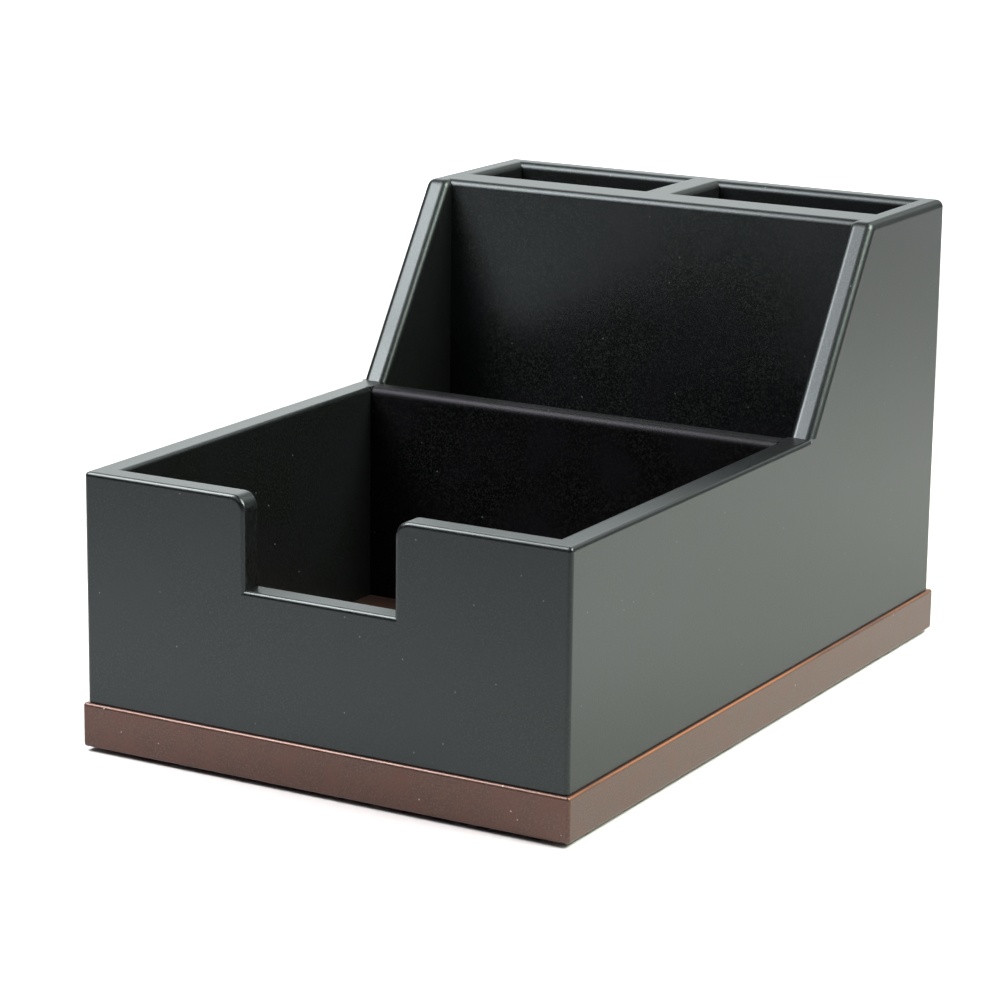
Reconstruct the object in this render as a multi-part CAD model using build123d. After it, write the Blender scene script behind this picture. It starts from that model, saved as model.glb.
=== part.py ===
from build123d import *
import math
import os

os.makedirs("parts", exist_ok=True)

# Pen and notepad holder: a black lacquered box of panels on a slightly larger brown board.
# Millimetres. +Z is up, X runs across the front, Y runs from the front to the back.
# The origin is at the bottom centre: the middle of the board, at the height of the table.

# Thicknesses of the panels and the board
wall_thickness = 6.0
divider_thickness = 6.0
partition_thickness = 9.0
pen_wall_thickness = 12.0
base_thickness = 10.0

# Spaces inside, across and from front to back
inner_width = 108.0
tray_length = 101.0
slot_gap = 31.5
pen_cell_depth = 23.0
partition_offset = -2.3

# Heights above the board, and the slope between them
tray_height = 52.0
pen_height = 97.5
slope_shoulder = 0.5
bend_radius = 2.5

# Finger notch in the front wall
notch_width = 37.0
notch_depth = 20.6
notch_corner_radius = 3.5

# Rounded arrises
tray_rim_radius = 1.0
divider_rim_radius = 2.0
pen_rim_radius = 1.8
foot_edge_radius = 0.4
base_edge_radius = 0.7
base_corner_radius = 0.7

# Joints between the panels: stopped grooves and lapped corners
groove_depth = 2.0
groove_stop = 8.0
glue_gap = 0.1
corner_lap = 3.0

# Overhang of the board, its screws and its pads
base_overhang = 0.8
screw_diameter = 2.5
screw_head_diameter = 5.0
screw_head_rim = 0.3
screw_length = 18.0
screw_tip = 2.0
screw_spacing = 70.0
screw_sink = 0.3
hole_clearance = 0.2
pilot_clearance = 0.05
pilot_spare = 1.0
recess_width = 0.7
recess_length = 2.6
recess_depth = 0.8
pad_diameter = 12.0
pad_thickness = 1.0
pad_edge_chamfer = 0.2
pad_inset = 11.0

# Places across the holder
inner_half = inner_width / 2
box_half = inner_half + wall_thickness
partition_left = partition_offset - partition_thickness / 2
partition_right = partition_offset + partition_thickness / 2

# Places from front to back
box_depth = (wall_thickness + tray_length + divider_thickness + slot_gap
             + pen_wall_thickness + pen_cell_depth + wall_thickness)
front = -box_depth / 2
back = box_depth / 2
tray_front = front + wall_thickness
divider_front = tray_front + tray_length
divider_back = divider_front + divider_thickness
pen_wall_front = divider_back + slot_gap
pen_wall_back = pen_wall_front + pen_wall_thickness
cell_back = pen_wall_back + pen_cell_depth

# Heights above the table
base_bottom = pad_thickness
base_top = base_bottom + base_thickness
tray_rim = base_top + tray_height
pen_rim = base_top + pen_height
notch_floor = tray_rim - notch_depth

# The slope starts at the divider's back and runs up to the bend's arc, as a tangent to it.
# The arc ends on the pen rim just in front of the pen wall.
slope_foot = divider_back
bend_end = pen_wall_front - slope_shoulder
to_centre = math.hypot(bend_end - slope_foot, pen_rim - bend_radius - tray_rim)
slope_angle = (math.atan2(pen_rim - bend_radius - tray_rim, bend_end - slope_foot)
               + math.asin(bend_radius / to_centre))
slope_top = bend_end - bend_radius * math.tan(slope_angle / 2)

# A hair's breadth for picking edges, and a margin for cutting right through
hair = 0.001
through = 5.0


def block(x_low, x_high, y_low, y_high, z_low, z_high):
    """A plain block between two corners."""
    centre = Pos((x_low + x_high) / 2, (y_low + y_high) / 2, (z_low + z_high) / 2)
    return centre * Box(x_high - x_low, y_high - y_low, z_high - z_low)


def edges_in(solid, x_low, x_high, y_low, y_high, z_low, z_high):
    """The edges of a solid that lie wholly between two corners."""
    found = []
    for edge in solid.edges():
        box = edge.bounding_box()
        inside_x = box.min.X > x_low - hair and box.max.X < x_high + hair
        inside_y = box.min.Y > y_low - hair and box.max.Y < y_high + hair
        inside_z = box.min.Z > z_low - hair and box.max.Z < z_high + hair
        if inside_x and inside_y and inside_z:
            found.append(edge)
    return found


def level_edges(solid, height):
    """The edges of a solid that lie level at one height."""
    return solid.edges().filter_by_position(Axis.Z, height - hair, height + hair)


def side_blank(x_low):
    """One side wall before its rims are rounded: low over the tray, then up the slope."""
    outline = Polyline(
        (x_low, front, base_top),
        (x_low, back, base_top),
        (x_low, back, pen_rim),
        (x_low, slope_top, pen_rim),
        (x_low, slope_foot, tray_rim),
        (x_low, front, tray_rim),
        close=True,
    )
    blank = extrude(make_face(outline), amount=wall_thickness, dir=(1, 0, 0))
    bend = edges_in(blank, x_low, x_low + wall_thickness, slope_top, slope_top, pen_rim, pen_rim)
    return fillet(bend, bend_radius)


def glued_box():
    """All the panels glued up square, with the finger notch cut, before sanding."""
    box = side_blank(-box_half) + side_blank(inner_half)
    box += block(-box_half, box_half, front, tray_front, base_top, tray_rim)
    box += block(-box_half, box_half, cell_back, back, base_top, pen_rim)
    box += block(-inner_half, inner_half, divider_front, divider_back, base_top, tray_rim)
    box += block(-inner_half, inner_half, pen_wall_front, pen_wall_back, base_top, pen_rim)
    box += block(partition_left, partition_right, pen_wall_back, cell_back, base_top, pen_rim)
    notch_half = notch_width / 2
    box -= block(-notch_half, notch_half, front - through, tray_front + through, notch_floor, tray_rim + through)
    corners = edges_in(box, -notch_half, -notch_half, front, tray_front, tray_rim, tray_rim)
    corners += edges_in(box, notch_half, notch_half, front, tray_front, tray_rim, tray_rim)
    return fillet(corners, notch_corner_radius)


def round_pen_rims(box):
    """Sanded arrises of the slopes, the high rim, the pen cells and the two back corners."""
    rims = edges_in(box, -inner_half, inner_half, pen_wall_back, cell_back, pen_rim, pen_rim)
    rims += edges_in(box, -inner_half, inner_half, pen_wall_front, pen_wall_front, pen_rim, pen_rim)
    rims += edges_in(box, -box_half, box_half, back, back, pen_rim, pen_rim)
    for side in (-1, 1):
        inside = side * inner_half
        outside = side * box_half
        rims += edges_in(box, inside, inside, slope_foot, pen_wall_front, tray_rim, pen_rim)
        rims += edges_in(box, outside, outside, slope_foot, back, tray_rim, pen_rim)
        rims += edges_in(box, outside, outside, back, back, base_top, pen_rim)
    return fillet(rims, pen_rim_radius)


def round_divider_rims(box):
    """Sanded arrises of the low divider, which hands brush most."""
    rims = edges_in(box, -inner_half, inner_half, divider_front, divider_front, tray_rim, tray_rim)
    rims += edges_in(box, -inner_half, inner_half, divider_back, divider_back, tray_rim, tray_rim)
    return fillet(rims, divider_rim_radius)


def round_tray_rims(box):
    """Sanded arrises of the tray's rim, the finger notch and the front corners."""
    rims = edges_in(box, -box_half, box_half, front, front, notch_floor, tray_rim)
    rims += edges_in(box, -inner_half, inner_half, tray_front, tray_front, notch_floor, tray_rim)
    for side in (-1, 1):
        inside = side * inner_half
        outside = side * box_half
        rims += edges_in(box, inside, inside, tray_front, slope_foot, tray_rim, tray_rim)
        rims += edges_in(box, outside, outside, front, slope_foot, tray_rim, tray_rim)
        rims += edges_in(box, outside, outside, front, front, base_top, tray_rim)
    return fillet(rims, tray_rim_radius)


def round_foot(box):
    """The slightly eased bottom edge, all the way round the outside."""
    edges = []
    for edge in edges_in(box, -box_half, box_half, front, back, base_top, base_top):
        centre = edge.center()
        beside = abs(centre.X) > inner_half + corner_lap - hair
        before = centre.Y < front + corner_lap
        behind = centre.Y > back - corner_lap
        if beside or before or behind:
            edges.append(edge)
    return fillet(edges, foot_edge_radius)


def sanded_box():
    """The glued box with every rim rounded: least at the tray, most at the low divider."""
    square = glued_box()
    return round_foot(round_pen_rims(square) & round_tray_rims(square) & round_divider_rims(square))


def tongue_and_groove(y_low, y_high, rim):
    """The stopped tongues of a cross panel and the grooves that they fill, in both side walls."""
    top = rim - groove_stop
    tongues = []
    grooves = []
    for side in (-1, 1):
        tongue_end = side * (inner_half + groove_depth - glue_gap)
        groove_end = side * (inner_half + groove_depth)
        start = side * inner_half
        tongues.append(block(min(start, tongue_end), max(start, tongue_end), y_low, y_high, base_top, top))
        grooves.append(block(min(start, groove_end), max(start, groove_end), y_low, y_high, base_top, top))
    return tongues, grooves


def screw_places():
    """Two screws rise into the front wall and two into the pen wall."""
    front_line = front + wall_thickness / 2
    pen_line = pen_wall_front + pen_wall_thickness / 2
    return [(side * screw_spacing / 2, line) for line in (front_line, pen_line) for side in (-1, 1)]


def pilot_holes():
    """The holes that the screws' tips fill in the panels above the board."""
    length = screw_sink + screw_length - base_thickness + pilot_spare
    radius = screw_diameter / 2 + pilot_clearance
    return [Pos(x, y, base_top + length / 2) * Cylinder(radius, length) for x, y in screw_places()]


def countersunk(radius, head_radius, rim, z_low, z_high):
    """A shank with a 90 degree head below it, as a turned profile."""
    cone_top = z_low + rim + head_radius - radius
    outline = Polyline(
        (0, z_low),
        (head_radius, z_low),
        (head_radius, z_low + rim),
        (radius, cone_top),
        (radius, z_high),
        (0, z_high),
        close=True,
    )
    return revolve(make_face(Plane.XZ * outline), Axis.Z)


def make_walls():
    """Saws the sanded box into its panels, each with its own joints."""
    box = sanded_box()
    full = (base_top - through, pen_rim + through)
    inside_x = (-inner_half, inner_half)
    divider_tongues, divider_grooves = tongue_and_groove(divider_front, divider_back, tray_rim)
    pen_tongues, pen_grooves = tongue_and_groove(pen_wall_front, pen_wall_back, pen_rim)
    partition_top = pen_rim - groove_stop
    partition_x = (partition_left, partition_right)

    front_wall = box & (block(-box_half, box_half, front, front + corner_lap, *full)
                        + block(*inside_x, front, tray_front, *full))
    back_wall = box & (block(-box_half, box_half, back - corner_lap, back, *full)
                       + block(*inside_x, cell_back, back, *full))
    back_wall -= block(*partition_x, cell_back, cell_back + groove_depth, base_top, partition_top)

    left_side_wall = box & block(-box_half, -inner_half, front + corner_lap, back - corner_lap, *full)
    right_side_wall = box & block(inner_half, box_half, front + corner_lap, back - corner_lap, *full)
    for groove in divider_grooves + pen_grooves:
        left_side_wall -= groove
        right_side_wall -= groove

    tray_divider = box & block(*inside_x, divider_front, divider_back, *full)
    for tongue in divider_tongues:
        tray_divider += tongue

    pen_wall = box & block(*inside_x, pen_wall_front, pen_wall_back, *full)
    for tongue in pen_tongues:
        pen_wall += tongue
    pen_wall -= block(*partition_x, pen_wall_back - groove_depth, pen_wall_back, base_top, partition_top)

    pen_partition = box & block(*partition_x, pen_wall_back, cell_back, *full)
    tongue_depth = groove_depth - glue_gap
    pen_partition += block(*partition_x, pen_wall_back - tongue_depth, pen_wall_back, base_top, partition_top)
    pen_partition += block(*partition_x, cell_back, cell_back + tongue_depth, base_top, partition_top)

    for hole in pilot_holes():
        front_wall -= hole
        pen_wall -= hole
    return {
        "front_wall": front_wall,
        "back_wall": back_wall,
        "left_side_wall": left_side_wall,
        "right_side_wall": right_side_wall,
        "tray_divider": tray_divider,
        "pen_wall": pen_wall,
        "pen_partition": pen_partition,
    }


def make_base():
    """The brown board, a little larger than the box, drilled and countersunk from beneath."""
    x_half = box_half + base_overhang
    y_half = box_depth / 2 + base_overhang
    board = block(-x_half, x_half, -y_half, y_half, base_bottom, base_top)
    board = fillet(board.edges().filter_by(Axis.Z), base_corner_radius)
    board = fillet(level_edges(board, base_top), base_edge_radius)
    board = fillet(level_edges(board, base_bottom), base_edge_radius)
    hole = countersunk(
        screw_diameter / 2 + hole_clearance,
        screw_head_diameter / 2 + hole_clearance,
        screw_sink + screw_head_rim,
        base_bottom,
        base_top + through,
    )
    for x, y in screw_places():
        board -= Pos(x, y, 0) * hole
    return board


def make_screws():
    """Countersunk screws with a cross recess, heads just under the board's lower face."""
    low = base_bottom + screw_sink
    shank_top = low + screw_length - screw_tip
    screw = countersunk(screw_diameter / 2, screw_head_diameter / 2, screw_head_rim, low, shank_top)
    screw += Pos(0, 0, shank_top + screw_tip / 2) * Cone(screw_diameter / 2, screw_diameter / 8, screw_tip)
    slot_middle = low + recess_depth / 2
    screw -= Pos(0, 0, slot_middle) * Box(recess_length, recess_width, recess_depth)
    screw -= Pos(0, 0, slot_middle) * Box(recess_width, recess_length, recess_depth)
    return Compound([Pos(x, y, 0) * screw for x, y in screw_places()])


def make_pads():
    """Four felt discs stuck under the corners of the board."""
    x_place = box_half + base_overhang - pad_inset
    y_place = box_depth / 2 + base_overhang - pad_inset
    pad = Pos(0, 0, pad_thickness / 2) * Cylinder(pad_diameter / 2, pad_thickness)
    pad = chamfer(level_edges(pad, 0), pad_edge_chamfer)
    pads = {}
    for row, y in (("front", -y_place), ("back", y_place)):
        for side, x in (("left", -x_place), ("right", x_place)):
            pads[f"pad_{row}_{side}"] = Pos(x, y, 0) * pad
    return pads


parts = make_walls()
parts["base_plate"] = make_base()
parts["base_screws"] = make_screws()
parts.update(make_pads())

for name, shape in parts.items():
    export_step(shape, f"parts/{name}.step")
    print(name, len(shape.solids()), round(shape.volume, 1))
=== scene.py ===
import math
import bpy
from mathutils import Euler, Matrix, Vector


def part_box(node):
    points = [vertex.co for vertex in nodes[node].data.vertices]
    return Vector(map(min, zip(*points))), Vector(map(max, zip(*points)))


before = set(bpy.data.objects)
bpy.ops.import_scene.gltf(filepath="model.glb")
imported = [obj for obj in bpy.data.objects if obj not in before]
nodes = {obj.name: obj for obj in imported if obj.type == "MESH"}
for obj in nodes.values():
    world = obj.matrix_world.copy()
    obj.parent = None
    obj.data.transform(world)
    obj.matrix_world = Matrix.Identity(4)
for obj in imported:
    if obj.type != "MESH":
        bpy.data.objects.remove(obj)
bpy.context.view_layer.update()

# The camera stands where the photographer's stood: in front of the holder, to its right and
# a little above it, far enough away for a long lens. It looks along the line from its place
# to the aim point, rolled a touch to one side.
camera_place = Vector((0.3736, -0.6712, 0.2378))
camera_aim = Vector((-0.0096, 0.0, 0.0439))
camera_roll = math.radians(0.725)
camera_lens = 123.4
sensor_width = 36.0
nearest_seen = 0.01

camera_data = bpy.data.cameras.new("camera")
camera_data.lens = camera_lens
camera_data.sensor_width = sensor_width
camera_data.clip_start = nearest_seen
camera = bpy.data.objects.new("camera", camera_data)
bpy.context.scene.collection.objects.link(camera)
camera.location = camera_place
turn = (camera_aim - camera_place).to_track_quat("-Z", "Y")
camera.rotation_euler = (turn @ Euler((0, 0, camera_roll)).to_quaternion()).to_euler()
bpy.context.scene.camera = camera
bpy.context.scene.view_settings.view_transform = "Standard"

# The floor is a wide sheet of matt pale paper that the holder stands on and that runs on far
# behind it.
floor_size = 12.0
paper_colour = (0.60, 0.595, 0.61, 1)
paper_roughness = 0.95

bpy.ops.mesh.primitive_plane_add(size=floor_size)
floor = bpy.context.object
floor.name = "paper_floor"
paper = bpy.data.materials.new("pale_paper")
paper.use_nodes = True
paper_shader = paper.node_tree.nodes["Principled BSDF"]
paper_shader.inputs["Base Color"].default_value = paper_colour
paper_shader.inputs["Roughness"].default_value = paper_roughness
floor.data.materials.append(paper)

# Soft boxes stand all round the holder like a tent, so that every rounded rim finds light to
# mirror, and the room itself is nearly dark. The last three boxes look away from the holder, at
# the paper behind it, before it and to its left.
room_colour = (1.0, 1.0, 1.0, 1)
room_strength = 0.02
holder_middle = (0.0, 0.0, 0.05)
warm_white = (0.96, 1.0, 0.86)
cool_white = (0.93, 1.0, 0.98)
plain_white = (1.0, 1.0, 1.0)
rosy_white = (1.0, 0.96, 0.94)

room = bpy.data.worlds.new("studio")
bpy.context.scene.world = room
room.use_nodes = True
room.node_tree.nodes["Background"].inputs["Color"].default_value = room_colour
room.node_tree.nodes["Background"].inputs["Strength"].default_value = room_strength


def soft_box(name, place, faces, size, brightness, colour):
    """A square lamp at a place, turned to the point that it faces."""
    lamp_data = bpy.data.lights.new(name, "AREA")
    lamp_data.shape = "SQUARE"
    lamp_data.size = size
    lamp_data.energy = brightness * math.pi * size * size
    lamp_data.color = colour
    lamp = bpy.data.objects.new(name, lamp_data)
    bpy.context.scene.collection.objects.link(lamp)
    lamp.location = place
    lamp.rotation_euler = (Vector(faces) - Vector(place)).to_track_quat("-Z", "Y").to_euler()
    lamp.visible_camera = False


soft_box("key_light", (-0.190, -0.106, 0.409), holder_middle, 0.20, 12.5, rosy_white)
soft_box("low_key_light", (-0.231, -0.189, 0.344), holder_middle, 0.20, 18.5, rosy_white)
soft_box("front_light", (-0.045, -0.628, 0.696), holder_middle, 0.50, 1.2, plain_white)
soft_box("side_light", (0.492, 0.070, 0.542), holder_middle, 0.30, 35.5, warm_white)
soft_box("side_back_light", (0.270, 0.210, 0.541), holder_middle, 0.25, 11.0, warm_white)
soft_box("low_side_light", (1.147, 0.181, 0.352), holder_middle, 0.70, 1.4, warm_white)
soft_box("low_back_light", (-1.230, 1.710, 0.691), holder_middle, 1.35, 1.65, cool_white)
soft_box("high_back_light", (-0.491, 0.710, 0.727), holder_middle, 0.60, 0.8, cool_white)
soft_box("right_back_light", (0.419, 1.042, 0.469), holder_middle, 0.80, 0.4, cool_white)
soft_box("high_far_light", (-0.300, 1.500, 0.900), (-0.300, 1.500, 0.0), 1.80, 0.85, cool_white)
soft_box("far_paper_light", (-0.300, 0.900, 0.700), (-0.500, 1.700, 0.100), 1.20, 5.0, plain_white)
soft_box("front_paper_light", (0.700, -1.600, 0.800), (1.200, -2.500, 0.000), 1.20, 3.0, plain_white)
soft_box("left_paper_light", (-0.500, 0.150, 0.500), (-1.060, 0.250, 0.080), 0.60, 3.0, plain_white)

# The board that everything stands on is fine-grained wood-fibre board, cut a touch larger than
# the box and sprayed mocha brown. The lacquer is satin and a little mottled, with a copper cast
# in its gloss. Its eased upper edges along the long sides are painted a brighter copper, partly
# rub-through and partly a painted highlight where those edges catch the light.
brown_deep = (0.026, 0.014, 0.011, 1)
brown_pale = (0.076, 0.048, 0.043, 1)
brown_cloud = (0.054, 0.021, 0.016, 1)
# The brighter copper of the long upper edges: rub-through with a painted highlight in it.
brown_rubbed_highlight = (0.26, 0.095, 0.038, 1)
brown_dust = (0.45, 0.38, 0.33, 1)
brown_gloss = (0.91, 0.60, 0.53, 1)
brown_ior = 1.65
brown_roughness = 0.33
brown_cloud_width = 0.005
none_to_full = (0.0, 1.0)
grain_width = 0.0004
grain_height = 0.000014
grain_detail = 2.0
grain_range = (0.46, 0.74)
cloud_detail = 3.0
cloud_range = (0.40, 0.70)
cloud_strength = (0.0, 0.7)
dust_spacing = 0.0050
dust_radius = 0.00024
dust_core = 0.4
dust_strength = (0.9, 0.0)
sheen_range = (0.30, 0.70)
sheen_swing = 0.02
peel_width = 0.0011
peel_height = 0.000006
peel_detail = 1.0
# The patches and reach of the brighter edges, which paint rub-through and, in part, a highlight.
rub_highlight_width = 0.045
rub_highlight_detail = 4.0
rub_highlight_range = (0.40, 0.62)
rub_highlight_strength = (0.15, 0.9)
rub_highlight_reach = 0.0005
rub_highlight_full = 0.00025


def add_node(finish, kind, values):
    """Adds a node to a finish and sets its inputs by name."""
    node = finish.node_tree.nodes.new(kind)
    for name, value in values.items():
        node.inputs[name].default_value = value
    return node


def feed(finish, source, output, target, entry):
    """Leads one node's output into another node's input."""
    finish.node_tree.links.new(source.outputs[output], target.inputs[entry])


def blotches(finish, spot, width, detail):
    """Noise whose blotches are about so many metres wide."""
    pattern = add_node(finish, "ShaderNodeTexNoise", {"Scale": 1 / width, "Detail": detail})
    feed(finish, spot, "Object", pattern, "Vector")
    return pattern


def spread(finish, source, output, span, result):
    """Stretches a value from one span, low and high, to another and stops it at the ends."""
    stretch = add_node(finish, "ShaderNodeMapRange", {
        "From Min": span[0], "From Max": span[1], "To Min": result[0], "To Max": result[1]})
    feed(finish, source, output, stretch, "Value")
    return stretch


def axes_of(finish, spot, output):
    """The x, y and z of a place or of the way that the surface faces, each by itself."""
    axes = finish.node_tree.nodes.new("ShaderNodeSeparateXYZ")
    feed(finish, spot, output, axes, "Vector")
    return axes


def times(finish, first, second):
    """One value times another."""
    product = finish.node_tree.nodes.new("ShaderNodeMath")
    product.operation = "MULTIPLY"
    feed(finish, first, 0, product, 0)
    feed(finish, second, 0, product, 1)
    return product


def blend_colours(finish, amount, first, second):
    """Mixes two colours, each a plain colour or an earlier mix, by the value of a node."""
    mix = finish.node_tree.nodes.new("ShaderNodeMix")
    mix.data_type = "RGBA"
    feed(finish, amount, 0, mix, 0)
    for entry, colour in ((6, first), (7, second)):
        if isinstance(colour, tuple):
            mix.inputs[entry].default_value = colour
        else:
            feed(finish, colour, 2, mix, entry)
    return mix


def new_finish(name):
    """A finish, its shader, and the place on the object that its patterns start from."""
    finish = bpy.data.materials.new(name)
    finish.use_nodes = True
    shader = finish.node_tree.nodes["Principled BSDF"]
    spot = finish.node_tree.nodes.new("ShaderNodeTexCoord")
    return finish, shader, spot


def bumps(finish, spot, width, height, detail, under=None):
    """A fine relief whose dimples are so wide and so high, in metres, over another one."""
    relief = blotches(finish, spot, width, detail)
    bump = add_node(finish, "ShaderNodeBump", {"Strength": 1.0, "Distance": height})
    feed(finish, relief, "Fac", bump, "Height")
    if under:
        feed(finish, under, "Normal", bump, "Normal")
    return bump


def rubbed_and_highlit_edges(finish, spot, corner):
    """How far a board's long upper edges, up to its corner, show rub-through and painted highlight,
    in patches.
    """
    place = axes_of(finish, spot, "Object")
    away = finish.node_tree.nodes.new("ShaderNodeMath")
    away.operation = "ABSOLUTE"
    feed(finish, place, 0, away, 0)
    side = spread(finish, away, 0, (corner.x - rub_highlight_reach, corner.x - rub_highlight_full), none_to_full)
    top = spread(finish, place, 2, (corner.z - rub_highlight_reach, corner.z - rub_highlight_full), none_to_full)
    patches = spread(
        finish, blotches(finish, spot, rub_highlight_width, rub_highlight_detail), "Fac", rub_highlight_range, rub_highlight_strength)
    return times(finish, times(finish, side, top), patches)


def lacquer(name, deep, pale, cloud_colour, cloud_width, dust_colour, gloss, ior, roughness):
    """Sprayed satin lacquer: pigment grain, soft clouds, orange peel and a few dust specks."""
    finish, shader, spot = new_finish(name)
    shader.inputs["Specular Tint"].default_value = gloss
    shader.inputs["IOR"].default_value = ior

    grain = blotches(finish, spot, grain_width, grain_detail)
    grain_amount = spread(finish, grain, "Fac", grain_range, none_to_full)
    cloud = blotches(finish, spot, cloud_width, cloud_detail)
    cloud_amount = spread(finish, cloud, "Fac", cloud_range, cloud_strength)
    dust = add_node(finish, "ShaderNodeTexVoronoi", {"Scale": 1 / dust_spacing})
    feed(finish, spot, "Object", dust, "Vector")
    dust_reach = dust_radius / dust_spacing
    dust_amount = spread(
        finish, dust, "Distance", (dust_core * dust_reach, dust_reach), dust_strength)

    sprayed = blend_colours(finish, grain_amount, deep, pale)
    clouded = blend_colours(finish, cloud_amount, sprayed, cloud_colour)
    coat = blend_colours(finish, dust_amount, clouded, dust_colour)
    feed(finish, coat, 2, shader, "Base Color")

    sheen = spread(
        finish, cloud, "Fac", sheen_range, (roughness - sheen_swing, roughness + sheen_swing))
    feed(finish, sheen, "Result", shader, "Roughness")
    peel = bumps(finish, spot, peel_width, peel_height, peel_detail)
    fine = bumps(finish, spot, grain_width, grain_height, grain_detail, peel)
    feed(finish, fine, "Normal", shader, "Normal")
    return finish, shader, spot, coat


def cover(node_name, finish):
    """Gives a CAD node one finish in place of its plain one."""
    slots = nodes[node_name].data.materials
    slots.clear()
    slots.append(finish)


brown_lacquer, brown_shader, brown_spot, brown_coat = lacquer(
    "brown_lacquer", brown_deep, brown_pale, brown_cloud, brown_cloud_width, brown_dust,
    brown_gloss, brown_ior, brown_roughness)
# Brighter copper along the long upper edges: rub-through wear and, in part, a painted highlight.
brown_rub_and_highlight = rubbed_and_highlit_edges(brown_lacquer, brown_spot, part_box("base_plate")[1])
brown_worn_and_highlit = blend_colours(brown_lacquer, brown_rub_and_highlight, brown_coat, brown_rubbed_highlight)
feed(brown_lacquer, brown_worn_and_highlit, 2, brown_shader, "Base Color")
cover("base_plate", brown_lacquer)

# The box is seven panels of the same board, glued up in grooves and laps, sanded together and
# sprayed as one, so the lacquer runs on from panel to panel. It is satin black with a faint
# cold cast. The tall rims, which hands reach over, are a little duller than the rest.
black_deep = (0.0010, 0.0012, 0.0013, 1)
black_pale = (0.0140, 0.0155, 0.0153, 1)
black_cloud = (0.0046, 0.0044, 0.0060, 1)
black_cloud_width = 0.016
black_dust = (0.09, 0.10, 0.10, 1)
black_gloss = (0.82, 0.95, 1.0, 1)
black_ior = 1.45
black_roughness = 0.30
facing_up = (0.05, 0.30)
tall_rim_height = (0.062, 0.075)
tall_rim_roughness = 0.38

black_lacquer, black_shader, black_spot = lacquer(
    "black_lacquer", black_deep, black_pale, black_cloud, black_cloud_width, black_dust,
    black_gloss, black_ior, black_roughness)[:3]
black_facing = axes_of(black_lacquer, black_spot, "Normal")
black_upward = spread(black_lacquer, black_facing, 2, facing_up, none_to_full)
black_place = axes_of(black_lacquer, black_spot, "Object")
black_height = spread(
    black_lacquer, black_place, 2, tall_rim_height, (black_roughness, tall_rim_roughness))
black_sheen = black_lacquer.node_tree.nodes.new("ShaderNodeMix")
black_sheen.inputs[2].default_value = black_roughness
feed(black_lacquer, black_upward, "Result", black_sheen, 0)
feed(black_lacquer, black_height, "Result", black_sheen, 3)
feed(black_lacquer, black_sheen, 0, black_shader, "Roughness")
for panel in ("front_wall", "left_side_wall", "right_side_wall", "pen_wall", "pen_partition",
              "back_wall"):
    cover(panel, black_lacquer)

# The low divider is a panel of the same box, let into the side walls. Its lacquer is a copy
# with a weaker violet-grey gloss and a darker grain, painted shade that keeps the divider dim,
# and its rounded rim is rougher, dulled where hands and paper have rubbed it.
# The grain and gloss colours below are painted shade, darker than the black lacquer's.
divider_shaded_pale = (0.0100, 0.0110, 0.0110, 1)
divider_shaded_gloss = (0.21, 0.21, 0.26, 1)
divider_rim_roughness = 0.46
divider_rim_reach = 0.0026
divider_rim_full = 0.0013

# A darker copy of the black lacquer: painted shade on the divider.
divider_shaded_lacquer, divider_shader, divider_spot = lacquer(
    "divider_shaded_lacquer", black_deep, divider_shaded_pale, black_cloud, black_cloud_width, black_dust,
    divider_shaded_gloss, black_ior, black_roughness)[:3]
divider_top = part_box("tray_divider")[1].z
divider_place = axes_of(divider_shaded_lacquer, divider_spot, "Object")
divider_sheen = spread(
    divider_shaded_lacquer, divider_place, 2,
    (divider_top - divider_rim_reach, divider_top - divider_rim_full),
    (black_roughness, divider_rim_roughness))
feed(divider_shaded_lacquer, divider_sheen, "Result", divider_shader, "Roughness")
cover("tray_divider", divider_shaded_lacquer)

# Four countersunk screws hold the board to the box from beneath. They are plain zinc-plated
# steel, slightly cloudy, with fine marks from the driver and the die.
steel_bright = (0.66, 0.64, 0.60, 1)
steel_dull = (0.46, 0.45, 0.43, 1)
steel_cloud_width = 0.0012
steel_cloud_detail = 3.0
steel_cloud_range = (0.35, 0.65)
steel_roughness = (0.28, 0.45)
steel_mark_width = 0.00025
steel_mark_height = 0.000006
steel_mark_detail = 2.0

steel, steel_shader, steel_spot = new_finish("screw_steel")
steel_shader.inputs["Metallic"].default_value = 1.0
steel_cloud = blotches(steel, steel_spot, steel_cloud_width, steel_cloud_detail)
steel_tone = spread(steel, steel_cloud, "Fac", steel_cloud_range, none_to_full)
steel_colour = blend_colours(steel, steel_tone, steel_bright, steel_dull)
feed(steel, steel_colour, 2, steel_shader, "Base Color")
steel_sheen = spread(steel, steel_cloud, "Fac", steel_cloud_range, steel_roughness)
feed(steel, steel_sheen, "Result", steel_shader, "Roughness")
steel_marks = bumps(steel, steel_spot, steel_mark_width, steel_mark_height, steel_mark_detail)
feed(steel, steel_marks, "Normal", steel_shader, "Normal")
cover("base_screws", steel)

# Four felt discs under the board's corners keep it off the table. They are pressed wool felt,
# dark grey-brown with paler fibres, and stuck on.
felt_dark = (0.030, 0.027, 0.024, 1)
felt_pale = (0.095, 0.085, 0.075, 1)
felt_fibre_width = 0.0005
felt_fibre_height = 0.00015
felt_fibre_detail = 5.0
felt_fibre_range = (0.35, 0.70)
felt_roughness = 0.95

felt, felt_shader, felt_spot = new_finish("felt")
felt_fibres = blotches(felt, felt_spot, felt_fibre_width, felt_fibre_detail)
felt_tone = spread(felt, felt_fibres, "Fac", felt_fibre_range, none_to_full)
felt_colour = blend_colours(felt, felt_tone, felt_dark, felt_pale)
feed(felt, felt_colour, 2, felt_shader, "Base Color")
felt_shader.inputs["Roughness"].default_value = felt_roughness
felt_nap = bumps(felt, felt_spot, felt_fibre_width, felt_fibre_height, felt_fibre_detail)
feed(felt, felt_nap, "Normal", felt_shader, "Normal")
for corner in ("front_left", "front_right", "back_left", "back_right"):
    cover("pad_" + corner, felt)
